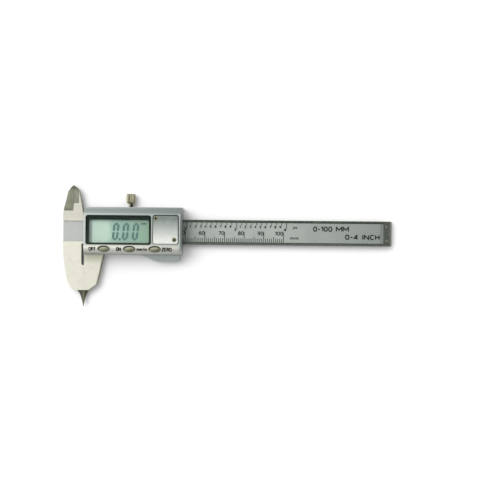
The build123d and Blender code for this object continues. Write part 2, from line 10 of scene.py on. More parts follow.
import bmesh
import bpy
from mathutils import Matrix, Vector


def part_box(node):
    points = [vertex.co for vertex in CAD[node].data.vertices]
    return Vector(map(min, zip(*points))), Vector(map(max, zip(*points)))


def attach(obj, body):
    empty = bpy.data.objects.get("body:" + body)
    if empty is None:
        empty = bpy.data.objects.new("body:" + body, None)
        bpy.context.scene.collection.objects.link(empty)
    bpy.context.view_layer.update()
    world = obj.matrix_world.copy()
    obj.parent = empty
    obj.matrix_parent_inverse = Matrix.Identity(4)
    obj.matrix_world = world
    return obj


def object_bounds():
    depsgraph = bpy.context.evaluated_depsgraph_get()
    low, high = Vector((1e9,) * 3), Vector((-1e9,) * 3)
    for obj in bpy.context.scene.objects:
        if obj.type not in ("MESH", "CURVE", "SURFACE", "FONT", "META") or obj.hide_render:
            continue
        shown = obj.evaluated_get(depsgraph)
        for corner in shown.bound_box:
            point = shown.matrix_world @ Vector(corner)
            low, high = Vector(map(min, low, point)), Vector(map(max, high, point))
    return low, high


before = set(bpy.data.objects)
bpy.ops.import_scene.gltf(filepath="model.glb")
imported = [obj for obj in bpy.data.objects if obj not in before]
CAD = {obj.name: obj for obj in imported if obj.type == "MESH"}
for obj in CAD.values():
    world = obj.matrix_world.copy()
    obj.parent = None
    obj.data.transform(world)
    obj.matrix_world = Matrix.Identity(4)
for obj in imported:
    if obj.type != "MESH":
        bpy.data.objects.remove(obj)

MM = 0.001
CAD_LOW, CAD_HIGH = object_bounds()

LOCK_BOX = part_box("lock_screw")
LOCK_X = (LOCK_BOX[0].x + LOCK_BOX[1].x) / 2 / MM
LOCK_Z = 2.5               # axis of the lock screw above the back

LABEL_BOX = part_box("scale_label")
LABEL_Z = LABEL_BOX[1].z / MM
LABEL_LOW, LABEL_TOP = LABEL_BOX[0].y / MM, LABEL_BOX[1].y / MM
ZERO_X = 1.8               # zero mark of both scales
TENTH_INCH = 2.54

COVER_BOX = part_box("front_cover")
COVER_Z = COVER_BOX[1].z / MM
COVER_LOW = COVER_BOX[0].y / MM
COVER_ROUND = 4.8          # radius of the cover's lower edge

LCD_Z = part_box("lcd_panel")[1].z / MM

PRINT_LIFT = 0.012         # a print's top above its surface
PRINT_THICK = 0.012
PRINT_SINK = 0.004         # extra depth of a print's underside


# ------------------------------------------------------------------ colour
def linear(channel):
    channel = channel / 255.0
    if channel <= 0.04045:
        return channel / 12.92
    return ((channel + 0.055) / 1.055) ** 2.4


def rgb(red, green, blue):
    """Linear RGBA of an 8-bit sRGB colour."""
    return (linear(red), linear(green), linear(blue), 1.0)


def scaled(color, factor, offset=0.0):
    """A linear colour with its channels scaled, at most 1."""
    return tuple(min(1.0, channel * factor + offset) for channel in color[:3]) + (1.0,)


# ------------------------------------------------------------------ material builder
class Mat:
    """Builds one Principled material. Places are millimetres, masks run from 0 to 1."""

    def __init__(self, name):
        self.material = bpy.data.materials.new(name)
        self.material.use_nodes = True
        self.tree = self.material.node_tree
        self.tree.nodes.clear()
        output = self.node("ShaderNodeOutputMaterial")
        self.shader = self.node("ShaderNodeBsdfPrincipled")
        self.put(output.inputs["Surface"], self.shader.outputs[0])
        scale = self.node("ShaderNodeVectorMath", operation="SCALE")
        scale.inputs["Scale"].default_value = 1 / MM
        self.put(scale.inputs[0], self.node("ShaderNodeTexCoord").outputs["Object"])
        self.place = scale.outputs[0]
        self.normal = None

    def node(self, kind, **settings):
        node = self.tree.nodes.new(kind)
        for key, value in settings.items():
            setattr(node, key, value)
        return node

    def put(self, socket, value):
        """Link a socket or set a plain value."""
        if isinstance(value, bpy.types.NodeSocket):
            self.tree.links.new(value, socket)
        else:
            socket.default_value = value

    def split(self, vector):
        node = self.node("ShaderNodeSeparateXYZ")
        self.put(node.inputs[0], vector)
        return tuple(node.outputs)

    # the separating nodes are made only in materials that use them
    @cached_property
    def place_axes(self):
        return self.split(self.place)

    @cached_property
    def normal_axes(self):
        return self.split(self.node("ShaderNodeNewGeometry").outputs["Normal"])

    x = property(lambda self: self.place_axes[0])
    y = property(lambda self: self.place_axes[1])
    z = property(lambda self: self.place_axes[2])
    normal_x = property(lambda self: self.normal_axes[0])
    normal_y = property(lambda self: self.normal_axes[1])
    normal_z = property(lambda self: self.normal_axes[2])

    # arithmetic
    def math(self, operation, first, second=0.0):
        node = self.node("ShaderNodeMath", operation=operation)
        self.put(node.inputs[0], first)
        self.put(node.inputs[1], second)
        return node.outputs[0]

    def mul(self, first, second):
        return self.math("MULTIPLY", first, second)

    def add(self, first, second):
        return self.math("ADD", first, second)

    def sub(self, first, second):
        return self.math("SUBTRACT", first, second)

    def abs(self, value):
        return self.math("ABSOLUTE", value)

    def all_of(self, *masks):
        return reduce(self.mul, masks)

    def radius(self, center_x, center_y):
        """Distance in the xy plane from a centre."""
        across = self.sub(self.x, center_x)
        up = self.sub(self.y, center_y)
        return self.math("SQRT", self.add(self.mul(across, across), self.mul(up, up)))

    def fade(self, value, zero_at, one_at):
        """Smooth mask: 0 at and beyond zero_at, 1 at and beyond one_at."""
        falling = one_at < zero_at
        node = self.node("ShaderNodeMapRange", interpolation_type="SMOOTHSTEP")
        self.put(node.inputs["Value"], value)
        node.inputs["From Min"].default_value = min(zero_at, one_at)
        node.inputs["From Max"].default_value = max(zero_at, one_at)
        node.inputs["To Min"].default_value = 1.0 if falling else 0.0
        node.inputs["To Max"].default_value = 0.0 if falling else 1.0
        return node.outputs[0]

    def remap(self, value, low, high, to_low=0.0, to_high=1.0):
        node = self.node("ShaderNodeMapRange", clamp=True)
        self.put(node.inputs["Value"], value)
        node.inputs["From Min"].default_value = low
        node.inputs["From Max"].default_value = high
        node.inputs["To Min"].default_value = to_low
        node.inputs["To Max"].default_value = to_high
        return node.outputs[0]

    def spread(self, noise, to_low, to_high):
        """Carry the middle of a noise's range to to_low..to_high."""
        return self.remap(noise, 0.3, 0.7, to_low, to_high)

    # colour
    def paint(self, base, over, where, amount=None, mode="MIX"):
        """Lay one colour over another where the mask is set, at most by amount."""
        node = self.node("ShaderNodeMix", data_type="RGBA", blend_type=mode, clamp_factor=True)
        self.put(node.inputs[0], where if amount is None else self.mul(where, amount))
        self.put(node.inputs[6], base)
        self.put(node.inputs[7], over)
        return node.outputs[2]

    def mix_values(self, where, base, over):
        node = self.node("ShaderNodeMix", data_type="FLOAT", clamp_factor=True)
        self.put(node.inputs[0], where)
        self.put(node.inputs[2], base)
        self.put(node.inputs[3], over)
        return node.outputs[0]

    def ramp(self, value, stops):
        """stops: (position, colour), in rising order."""
        node = self.node("ShaderNodeValToRGB")
        elements = node.color_ramp.elements
        elements[0].position, elements[0].color = stops[0]
        elements[1].position, elements[1].color = stops[-1]
        for position, color in stops[1:-1]:
            elements.new(position).color = color
        self.put(node.inputs[0], value)
        return node.outputs[0]

    def two_tone(self, noise, low_color, high_color):
        return self.ramp(noise, [(0.3, low_color), (0.7, high_color)])

    # textures
    def stretch(self, factors):
        node = self.node("ShaderNodeVectorMath", operation="MULTIPLY")
        self.put(node.inputs[0], self.place)
        node.inputs[1].default_value = factors
        return node.outputs[0]

    def noise(self, scale=1.0, detail=2.0, rough=0.5, stretch=None, distortion=0.0):
        """stretch: factors on x, y and z; a low one draws streaks along its axis."""
        node = self.node("ShaderNodeTexNoise")
        node.inputs["Scale"].default_value = scale
        node.inputs["Detail"].default_value = detail
        node.inputs["Roughness"].default_value = rough
        node.inputs["Distortion"].default_value = distortion
        self.put(node.inputs["Vector"], self.stretch(stretch) if stretch else self.place)
        return node.outputs["Fac"]

    def voronoi(self, scale, stretch=None, feature="F1"):
        node = self.node("ShaderNodeTexVoronoi", feature=feature)
        node.inputs["Scale"].default_value = scale
        self.put(node.inputs["Vector"], self.stretch(stretch) if stretch else self.place)
        return node.outputs["Distance"]

    def scratches(self, stretch, scale, low=0.60, high=0.68):
        """Mask of tiny scratches along one direction, taken from the top of a noise."""
        noise = self.noise(scale, detail=5.0, rough=0.62, stretch=stretch, distortion=0.25)
        return self.fade(noise, low, high)

    # surface
    def edge(self, radius):
        """Round the normals along sharp edges; comes before any bump."""
        node = self.node("ShaderNodeBevel", samples=6)
        node.inputs["Radius"].default_value = radius * MM
        self.normal = node.outputs[0]

    def bump(self, height, strength, distance):
        node = self.node("ShaderNodeBump")
        node.inputs["Strength"].default_value = strength
        node.inputs["Distance"].default_value = distance * MM
        self.put(node.inputs["Height"], height)
        if self.normal is not None:
            self.put(node.inputs["Normal"], self.normal)
        self.normal = node.outputs[0]

    def finish(self, color, rough, metal=0.0, specular=None, alpha=None):
        values = {"Base Color": color, "Roughness": rough, "Metallic": metal,
                  "Specular IOR Level": specular, "Alpha": alpha, "Normal": self.normal}
        for socket, value in values.items():
            if value is not None:
                self.put(self.shader.inputs[socket], value)
        return self.material


# ------------------------------------------------------------------ beam and slider steel
def paint_points(mat, color):
    """Hollow-ground points at the outside jaws' lower end, a painted highlight down the middle."""
    point = mat.fade(mat.y, -30.0, -30.08)
    streak = mat.fade(mat.abs(mat.sub(mat.x, 0.35)), 1.0, 0.1)
    tip = mat.paint(rgb(78, 78, 66), rgb(134, 136, 112), streak)
    # painted shade just under the step at the top of the point
    tip = mat.paint(tip, rgb(70, 68, 54), mat.fade(mat.y, -30.9, -30.1))
    return mat.paint(color, tip, point)


def paint_walls(mat, color, wall_shade_color):
    """Painted shade on side walls and flanks, most of all those that face +x, away from the light.
    """
    tilted = mat.fade(mat.normal_z, 0.86, 0.60)
    right_facing_shade = mat.mul(0.85, mat.fade(mat.normal_x, -0.2, 0.3))
    color = mat.paint(color, rgb(112, 110, 96), mat.mul(tilted, right_facing_shade))
    return mat.paint(color, wall_shade_color, mat.fade(mat.abs(mat.normal_z), 0.5, 0.2), amount=0.35)


def ground_beam():
    mat = Mat("beam_ground_steel")
    mat.edge(radius=0.10)
    # grinding marks run along the beam, and along y on the jaws
    grind_bar = mat.noise(detail=4.0, rough=0.6, stretch=(0.25, 16.0, 16.0))
    grind_jaw = mat.noise(detail=4.0, rough=0.6, stretch=(15.0, 0.45, 15.0))
    cloud = mat.noise(scale=0.22, detail=3.0, rough=0.55)
    fine = mat.noise(scale=7.0, detail=2.0, rough=0.6)
    jaw = mat.fade(mat.x, 1.4, 0.4)
    grind = mat.mix_values(jaw, grind_bar, grind_jaw)

    # jaws, a little darker in the upper part
    jaw_color = mat.ramp(cloud, [
        (0.30, rgb(222, 219, 202)), (0.52, rgb(231, 229, 214)), (0.72, rgb(227, 226, 208))])
    jaw_color = mat.paint(jaw_color, rgb(201, 198, 184), mat.fade(mat.y, 2.0, 8.0), amount=0.75)
    # mottled rails beside the label, darker on the upper side
    mottle = mat.noise(scale=0.9, detail=4.0, rough=0.65)
    rail = mat.ramp(mottle, [
        (0.30, rgb(54, 60, 54)), (0.50, rgb(78, 84, 78)), (0.68, rgb(108, 112, 104))])
    rail = mat.paint(rail, rgb(46, 52, 46), mat.fade(mat.y, -1.0, 1.0), amount=0.18)
    rail = mat.paint(rail, rgb(128, 132, 124), mat.fade(mat.y, 1.0, -1.0), amount=0.22)
    # bare right end: painted shade darkens its middle and a fine ring round each stop screw
    mottle = mat.noise(scale=1.6, detail=4.0, rough=0.7)
    end = mat.ramp(mottle, [
        (0.32, rgb(86, 92, 86)), (0.55, rgb(104, 110, 102)), (0.75, rgb(140, 144, 136))])
    middle = mat.all_of(mat.fade(mat.x, 152.7, 153.1), mat.fade(mat.x, 156.0, 155.2))
    end = mat.paint(end, rgb(66, 72, 66), middle, amount=0.42)
    ring_radius = 1.12
    low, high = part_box("end_stop_screws")
    half = (high.x - low.x) / 2
    for center_y in (low.y + half, high.y - half):
        distance = mat.radius((low.x + half) / MM, center_y / MM)
        screw_ring_shade = mat.fade(mat.abs(mat.sub(distance, ring_radius)), 0.34, 0.12)
        end = mat.paint(end, rgb(44, 48, 42), screw_ring_shade, amount=0.7)
    bar = mat.paint(rail, end, mat.fade(mat.x, 152.6, 153.0))
    bar = mat.paint(bar, rgb(170, 172, 164), mat.fade(mat.x, 156.0, 156.6), amount=0.6)
    color = mat.paint(bar, jaw_color, jaw)

    # blasted scale-groove floor, darker to the right; painted shade in the gaps beside the label
    groove = mat.all_of(mat.fade(mat.z, 3.75, 3.55), mat.all_of(
        mat.fade(mat.abs(mat.y), 5.45, 5.32), mat.fade(mat.normal_z, 0.4, 0.9)))
    groove_noise = mat.noise(scale=2.2, detail=3.0, rough=0.6)
    floor = mat.two_tone(groove_noise, rgb(176, 179, 177), rgb(190, 192, 188))
    floor = mat.paint(floor, rgb(134, 138, 131), mat.fade(mat.x, 150.9, 151.5))
    label_gap_shade = mat.all_of(mat.fade(mat.abs(mat.y), 4.95, 5.05), mat.fade(mat.x, 0.8, 1.0))
    floor = mat.paint(floor, rgb(60, 66, 60), label_gap_shade)
    color = mat.paint(color, floor, groove)

    # olive ground bevel of the inside jaw, on the front only
    front = mat.fade(mat.z, 2.52, 2.58)
    tilt = mat.all_of(mat.fade(mat.normal_z, 0.985, 0.93), mat.fade(mat.normal_z, 0.15, 0.35))
    horn = mat.all_of(mat.mul(tilt, mat.all_of(
        mat.fade(mat.y, 13.9, 14.1), mat.fade(mat.normal_x, 0.25, 0.1))), front)
    bevel_noise = mat.noise(detail=3.0, rough=0.5, stretch=(2.2, 0.35, 2.0))
    bevel = mat.two_tone(bevel_noise, rgb(112, 113, 97), rgb(136, 137, 122))
    bevel = mat.paint(bevel, rgb(92, 94, 80), mat.fade(mat.y, 20.2, 22.0))
    color = mat.paint(color, bevel, horn)
    color = paint_points(mat, color)
    color = paint_walls(mat, color, rgb(120, 120, 108))
    # painted shade on the walls of the relief slot between the outside jaws
    slot = mat.all_of(mat.fade(mat.x, -1.2, -1.05), mat.fade(mat.y, -5.9, -6.3),
                      mat.fade(mat.abs(mat.normal_z), 0.6, 0.3),
                      mat.fade(mat.y, -19.0, -17.6))
    color = mat.paint(color, rgb(52, 50, 40), slot)
    color = mat.paint(color, rgb(150, 150, 140), mat.fade(grind, 0.45, 0.75), amount=0.16)
    scratch = mat.scratches(stretch=(0.5, 6.0, 6.0), scale=0.8)
    color = mat.paint(color, rgb(250, 248, 240), scratch, amount=0.10)

    mat.bump(grind, strength=0.16, distance=0.012)
    mat.bump(fine, strength=0.10, distance=0.006)
    mat.bump(scratch, strength=0.10, distance=0.006)
    grind_share = 1.0   # how far the grinding marks change the roughness
    rough = mat.add(mat.spread(cloud, 0.30, 0.40),
                    mat.mul(mat.spread(grind, -0.05, 0.05), grind_share))
    return mat.finish(color, rough=mat.mix_values(groove, rough, 0.55),
                      metal=mat.mix_values(groove, 0.80, 0.35))


def ground_slider():
    mat = Mat("slider_ground_steel")
    mat.edge(radius=0.10)
    grind = mat.noise(detail=4.0, rough=0.6, stretch=(15.0, 0.45, 15.0))
    cloud = mat.noise(scale=0.25, detail=3.0, rough=0.55)
    fine = mat.noise(scale=7.0, detail=2.0, rough=0.6)

    # pale jaws, with a soft shade just under the housing, on a greyer body
    jaw_color = mat.ramp(cloud, [
        (0.30, rgb(220, 218, 201)), (0.52, rgb(229, 227, 211)), (0.72, rgb(225, 223, 206))])
    under = mat.fade(mat.y, -17.5, -12.5)
    jaw_color = mat.paint(jaw_color, rgb(170, 172, 150), under, amount=0.66)
    body_color = mat.two_tone(cloud, rgb(156, 164, 161), rgb(166, 173, 170))
    jaw = mat.all_of(
        mat.fade(mat.z, 4.3, 4.05), mat.fade(mat.x, 13.5, 10.0),
        mat.math("MAXIMUM", mat.fade(mat.y, 11.4, 9.0), mat.fade(mat.x, 0.6, -0.6)))
    color = mat.paint(body_color, jaw_color, jaw)

    # rear inside jaw: olive, streaked, darker at the tip; painted shade by the front jaw and root
    horn = mat.all_of(
        mat.fade(mat.y, 10.15, 10.4), mat.fade(mat.x, -4.2, -4.6), mat.fade(mat.z, 2.6, 2.5),
        mat.fade(mat.abs(mat.normal_z), 0.3, 0.6))
    streaks = mat.noise(detail=3.0, rough=0.55, stretch=(1.6, 0.18, 1.0))
    olive = mat.ramp(streaks, [
        (0.28, rgb(112, 113, 95)), (0.5, rgb(128, 130, 110)), (0.72, rgb(142, 142, 128))])
    right_edge_shade = mat.fade(mat.x, -6.1, -5.45)
    olive = mat.paint(olive, rgb(98, 98, 84), right_edge_shade, amount=0.6)
    olive = mat.paint(olive, rgb(92, 94, 80), mat.fade(mat.y, 20.6, 22.6))
    olive = mat.paint(olive, rgb(100, 98, 86), mat.fade(mat.y, 12.6, 10.6), amount=0.5)
    color = mat.paint(color, olive, horn)
    color = paint_points(mat, color)
    color = paint_walls(mat, color, rgb(120, 120, 110))
    # painted shade on the walls of the relief slot between the outside jaws
    slot = mat.all_of(mat.fade(mat.x, 0.65, 0.5), mat.fade(mat.y, -19.0, -17.6),
                      mat.fade(mat.abs(mat.normal_z), 0.6, 0.3), mat.fade(mat.y, -5.9, -6.3))
    color = mat.paint(color, rgb(52, 50, 40), slot)
    color = mat.paint(color, rgb(150, 150, 140), mat.fade(grind, 0.45, 0.75), amount=0.15)
    scratch = mat.scratches(stretch=(6.0, 0.5, 6.0), scale=0.8)
    color = mat.paint(color, rgb(250, 248, 240), scratch, amount=0.10)

    mat.bump(grind, strength=0.16, distance=0.012)
    mat.bump(fine, strength=0.10, distance=0.006)
    rough = mat.add(mat.spread(cloud, 0.30, 0.40), mat.spread(grind, -0.05, 0.05))
    return mat.finish(color, rough=rough, metal=0.80)


# ------------------------------------------------------------------ housing
def satin_housing():
    mat = Mat("satin_housing")
    mat.edge(radius=0.16)
    cloud = mat.noise(scale=0.10, detail=2.0, rough=0.5)
    speck = mat.noise(scale=9.0, detail=3.0, rough=0.7)
    # painted light: lighter at the left, towards the light, and darker to the right
    across = mat.remap(mat.x, 3.0, 48.0)
    color = mat.paint(rgb(178, 186, 181), rgb(148, 155, 153), across)
    # painted shade on the upper bevel, most of all along its middle and to the right
    bevel = mat.all_of(mat.fade(mat.normal_y, 0.35, 0.6), mat.fade(mat.normal_z, 0.3, 0.6))
    bevel_shade = mat.ramp(mat.remap(mat.y, 8.9, 12.2), [
        (0.0, rgb(146, 152, 148)), (0.3, rgb(130, 138, 134)),
        (0.65, rgb(128, 136, 133)), (1.0, rgb(164, 169, 167))])
    bevel_shade = mat.paint(bevel_shade, rgb(96, 104, 102), across, amount=0.68)
    color = mat.paint(color, bevel_shade, bevel)
    # light catches the start of the rounding below the display and fades to the lower edge
    low = mat.all_of(mat.fade(mat.y, -6.3, -6.9), mat.fade(mat.abs(mat.normal_x), 0.75, 0.45))
    low_color = mat.ramp(mat.remap(mat.y, -11.6, -6.6), [
        (0.0, rgb(156, 156, 150)), (0.10, rgb(162, 162, 154)), (0.20, rgb(172, 172, 163)),
        (0.29, rgb(192, 192, 182)), (0.40, rgb(198, 198, 188)), (0.575, rgb(224, 223, 212)),
        (0.675, rgb(240, 239, 227)), (0.775, rgb(234, 234, 222)),
        (0.875, rgb(196, 198, 188)), (1.0, rgb(186, 190, 182))])
    low_color = mat.paint(low_color, rgb(150, 154, 150), across, amount=0.40)
    right_end = mat.fade(mat.x, 48.7, 49.6)
    low_color = mat.paint(low_color, rgb(150, 156, 152), right_end, amount=0.85)
    color = mat.paint(color, low_color, low)

    # pale front margin at the right end, then painted shade on the walls that face +x
    right_facing_shade = mat.fade(mat.normal_x, 0.35, 0.65)
    margin = mat.all_of(mat.fade(mat.x, 49.0, 49.4), mat.fade(mat.normal_z, 0.9, 0.98))
    color = mat.paint(color, rgb(176, 184, 180), margin, amount=0.5)
    color = mat.paint(color, rgb(112, 120, 116), right_facing_shade, amount=0.65)
    # painted shade on those walls beside the beam, and on the channel the beam passes through
    beside = mat.fade(mat.abs(mat.y), 10.0, 5.0)
    beside_wall_shade = mat.all_of(mat.fade(mat.normal_x, 0.35, 0.65), beside)
    color = mat.paint(color, rgb(84, 92, 88), beside_wall_shade, amount=0.30)
    channel = mat.all_of(mat.fade(mat.normal_x, 0.85, 0.95),
                         mat.all_of(beside, mat.fade(mat.z, 9.5, 5.0)))
    color = mat.paint(color, rgb(60, 66, 62), channel, amount=0.8)
    # painted shade inside the openings, and in the pocket under the battery cover
    opening_shade = mat.all_of(
        mat.fade(mat.abs(mat.normal_z), 0.55, 0.30),
        mat.all_of(mat.fade(mat.y, -9.7, -9.4), mat.fade(mat.y, 8.75, 8.6)))
    opening_shade = mat.all_of(
        opening_shade, mat.all_of(mat.fade(mat.x, 1.6, 1.9), mat.fade(mat.x, 49.5, 49.2)))
    color = mat.paint(color, rgb(40, 44, 40), opening_shade)
    pocket_shade = mat.all_of(
        mat.all_of(mat.fade(mat.x, 35.8, 35.95), mat.fade(mat.x, 49.3, 49.2)),
        mat.all_of(mat.fade(mat.y, -6.6, -6.4), mat.fade(mat.y, 8.5, 8.35)))
    pocket_shade = mat.all_of(pocket_shade, mat.fade(mat.z, 12.6, 12.4))
    color = mat.paint(color, rgb(48, 54, 50), pocket_shade)

    color = mat.paint(color, rgb(120, 126, 124), mat.fade(speck, 0.58, 0.75), amount=0.12)
    scratch = mat.scratches(stretch=(0.4, 7.0, 7.0), scale=0.6, low=0.63, high=0.70)
    color = mat.paint(color, rgb(235, 238, 235), scratch, amount=0.12)
    mat.bump(speck, strength=0.22, distance=0.010)
    mat.bump(mat.noise(scale=2.0, detail=2.0, rough=0.5), strength=0.05, distance=0.03)
    rough = mat.add(mat.spread(cloud, 0.36, 0.44), mat.spread(speck, -0.04, 0.05))
    return mat.finish(color, rough=rough, metal=0.25)


# ------------------------------------------------------------------ plates, buttons, screws
def brushed(name, upper, lower, low_y, high_y):
    """Steel brushed along x, a painted reflection from one colour at low_y to the other at high_y.
    """
    mat = Mat(name)
    mat.edge(radius=0.10)
    streak = mat.noise(detail=5.0, rough=0.62, stretch=(0.22, 26.0, 8.0))
    cloud = mat.noise(scale=0.3, detail=2.0, rough=0.5)
    height = mat.add(mat.remap(mat.y, low_y, high_y), mat.spread(cloud, -0.05, 0.05))
    color = mat.ramp(height, [(0.0, lower), (0.12, lower), (1.0, upper)])
    soft_streak = mat.fade(streak, 0.40, 0.70)
    color = mat.paint(color, rgb(255, 255, 250), soft_streak, amount=0.28, mode="MULTIPLY")
    color = mat.paint(color, rgb(110, 114, 110), mat.fade(streak, 0.52, 0.74), amount=0.22)
    mat.bump(streak, strength=0.18, distance=0.010)
    return mat.finish(color, rough=mat.spread(streak, 0.24, 0.38), metal=0.82)


def brass(name, knurled):
    mat = Mat(name)
    mat.edge(radius=0.08)
    cloud = mat.noise(scale=0.8, detail=3.0, rough=0.6)
    color = mat.ramp(cloud, [
        (0.30, rgb(202, 198, 166)), (0.55, rgb(232, 229, 202)), (0.75, rgb(218, 214, 186))])
    if knurled:
        # painted shade in the knurl valleys, at their radius round the lock screw's axis
        radius = mat.math("SQRT", mat.add(
            mat.math("POWER", mat.sub(mat.x, LOCK_X), 2.0),
            mat.math("POWER", mat.sub(mat.z, LOCK_Z), 2.0)))
        valley_shade = mat.all_of(mat.fade(radius, 2.40, 2.20), mat.fade(radius, 1.9, 2.05))
        color = mat.paint(color, rgb(88, 81, 55), valley_shade, amount=0.85)
        # painted shade on the right side of the neck below the knurl
        neck = mat.fade(mat.y, 14.4, 14.1)
        right = mat.fade(mat.x, LOCK_X - 0.6, LOCK_X)
        neck_shaded = mat.paint(rgb(168, 164, 136), rgb(62, 62, 46), right)
        color = mat.paint(color, neck_shaded, neck)
    spots = mat.fade(mat.noise(scale=5.0, detail=3.0, rough=0.7), 0.55, 0.7)
    color = mat.paint(color, rgb(136, 128, 86), spots, amount=0.2)
    mat.bump(mat.noise(scale=9.0, detail=2.0, rough=0.6), strength=0.15, distance=0.01)
    return mat.finish(color, rough=mat.spread(cloud, 0.26, 0.38), metal=0.92)


def champagne_button():
    mat = Mat("champagne_button")
    mat.edge(radius=0.10)
    fine = mat.noise(scale=8.0, detail=3.0, rough=0.7)
    cloud = mat.noise(scale=0.6, detail=2.0, rough=0.5)
    color = mat.two_tone(cloud, rgb(130, 131, 109), rgb(144, 145, 124))
    # satin dome: painted highlight on its upper part, lower rim darker, painted shade on its sides
    color = mat.paint(color, rgb(188, 188, 162), mat.fade(mat.y, -9.4, -8.3), amount=0.45)
    color = mat.paint(color, rgb(128, 127, 104), mat.fade(mat.y, -9.3, -10.1), amount=0.35)
    side_shade = mat.fade(mat.normal_z, 0.80, 0.35)
    color = mat.paint(color, rgb(70, 66, 46), side_shade, amount=0.85)
    color = mat.paint(color, rgb(120, 118, 92), mat.fade(fine, 0.55, 0.72), amount=0.2)
    mat.bump(fine, strength=0.16, distance=0.01)
    return mat.finish(color, rough=mat.spread(fine, 0.30, 0.42), metal=0.80)


def plain_metal(name, low_color, high_color, metal=0.9):
    mat = Mat(name)
    mat.edge(radius=0.06)
    cloud = mat.noise(scale=1.6, detail=4.0, rough=0.6)
    color = mat.two_tone(cloud, low_color, high_color)
    fine = mat.noise(scale=6.0, detail=2.0, rough=0.5)
    color = mat.paint(color, rgb(70, 68, 58), mat.fade(fine, 0.55, 0.7), amount=0.2)
    mat.bump(fine, strength=0.15, distance=0.01)
    return mat.finish(color, rough=mat.spread(cloud, 0.28, 0.42), metal=metal)


def cross_recess_screw():
    """Pale olive heads, with painted shade around and inside the cross recess."""
    mat = Mat("cross_recess_screw")
    mat.edge(radius=0.06)
    cloud = mat.noise(scale=1.6, detail=4.0, rough=0.6)
    color = mat.two_tone(cloud, rgb(132, 130, 106), rgb(158, 156, 130))
    low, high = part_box("battery_cover_screws")
    head_radius = 0.95
    # the upper left screw, then the lower right one
    centers = ((low.x / MM + head_radius, high.y / MM - head_radius),
               (high.x / MM - head_radius, low.y / MM + head_radius))
    # painted shade round each cross recess, darkest inside it
    near = [mat.fade(mat.radius(*center), 0.72, 0.45) for center in centers]
    color = mat.paint(color, rgb(58, 56, 44), mat.math("MAXIMUM", *near), amount=0.8)
    color = mat.paint(color, rgb(36, 34, 24), mat.fade(mat.z, 12.86, 12.78))
    mat.bump(mat.noise(scale=6.0, detail=2.0, rough=0.5), strength=0.15, distance=0.01)
    return mat.finish(color, rough=mat.spread(cloud, 0.32, 0.44), metal=0.6)


# ------------------------------------------------------------------ label, inks and plastics
def scale_face():
    mat = Mat("printed_scale_face")
    cloud = mat.noise(scale=0.12, detail=3.0, rough=0.55)
    speck = mat.noise(scale=5.0, detail=3.0, rough=0.7)
    color = mat.two_tone(cloud, rgb(147, 153, 148), rgb(158, 163, 157))
    # darker to the far right, and painted shadow of the housing close to the slider
    far = mat.remap(mat.x, 95.0, 151.0)
    color = mat.paint(color, rgb(118, 124, 119), far, amount=0.8)
    color = mat.paint(color, rgb(104, 114, 107), mat.fade(mat.x, 58.0, 50.5), amount=0.45)
    # painted shade where the label meets the rails, and light rubs run along it
    rail_edge_shade = mat.fade(mat.abs(mat.y), 4.55, 5.0)
    color = mat.paint(color, rgb(118, 124, 118), rail_edge_shade, amount=0.35)
    rub = mat.scratches(stretch=(0.16, 5.0, 5.0), scale=0.8, low=0.60, high=0.70)
    color = mat.paint(color, rgb(190, 196, 190), rub, amount=0.20)
    color = mat.paint(color, rgb(134, 140, 134), mat.fade(speck, 0.60, 0.75), amount=0.18)
    mat.bump(speck, strength=0.12, distance=0.006)
    return mat.finish(color, rough=mat.spread(speck, 0.42, 0.55), specular=0.45)


def ink(name, color):
    mat = Mat(name)
    worn = mat.noise(scale=4.0, detail=3.0, rough=0.7)
    faded = scaled(color, 1.9, offset=0.03)
    color = mat.paint(color, faded, mat.fade(worn, 0.52, 0.72), amount=0.30)
    mat.bump(worn, strength=0.1, distance=0.004)
    return mat.finish(color, rough=mat.spread(worn, 0.42, 0.60))


def black_plastic(name, base, rough, specular=0.4, low=None):
    """rough: low and high roughness. low: colour towards the lower side, if it differs."""
    mat = Mat(name)
    mat.edge(radius=0.10)
    fine = mat.noise(scale=6.0, detail=3.0, rough=0.6)
    cloud = mat.noise(scale=0.3, detail=2.0, rough=0.5)
    color = mat.paint(base, scaled(base, 1.7), cloud, amount=0.5)
    if low:
        color = mat.paint(color, low, mat.fade(mat.y, 2.0, -6.0))
    mat.bump(fine, strength=0.12, distance=0.010)
    return mat.finish(color, rough=mat.spread(fine, *rough), specular=specular)


def reflective_lcd():
    mat = Mat("reflective_lcd")
    wander = mat.spread(mat.noise(scale=0.12, detail=2.0, rough=0.5), -0.08, 0.08)
    color = mat.ramp(mat.add(mat.remap(mat.x, 5.0, 33.0), wander), [
        (0.0, rgb(178, 200, 186)), (0.24, rgb(184, 206, 191)), (0.38, rgb(152, 182, 168)),
        (0.62, rgb(140, 167, 157)), (0.80, rgb(140, 170, 152)), (1.0, rgb(134, 162, 140))])
    # greyish painted shadow of the left border, and a soft painted shade under the upper border
    color = mat.paint(color, rgb(134, 148, 141), mat.fade(mat.x, 5.75, 5.3))
    color = mat.paint(color, rgb(116, 140, 128), mat.fade(mat.y, 3.6, 5.6), amount=0.35)
    cell = mat.noise(scale=14.0, detail=1.0, rough=0.5)
    color = mat.paint(color, rgb(120, 150, 138), mat.fade(cell, 0.5, 0.7), amount=0.08)
    mat.bump(cell, strength=0.05, distance=0.004)
    return mat.finish(color, rough=0.22, specular=0.5)


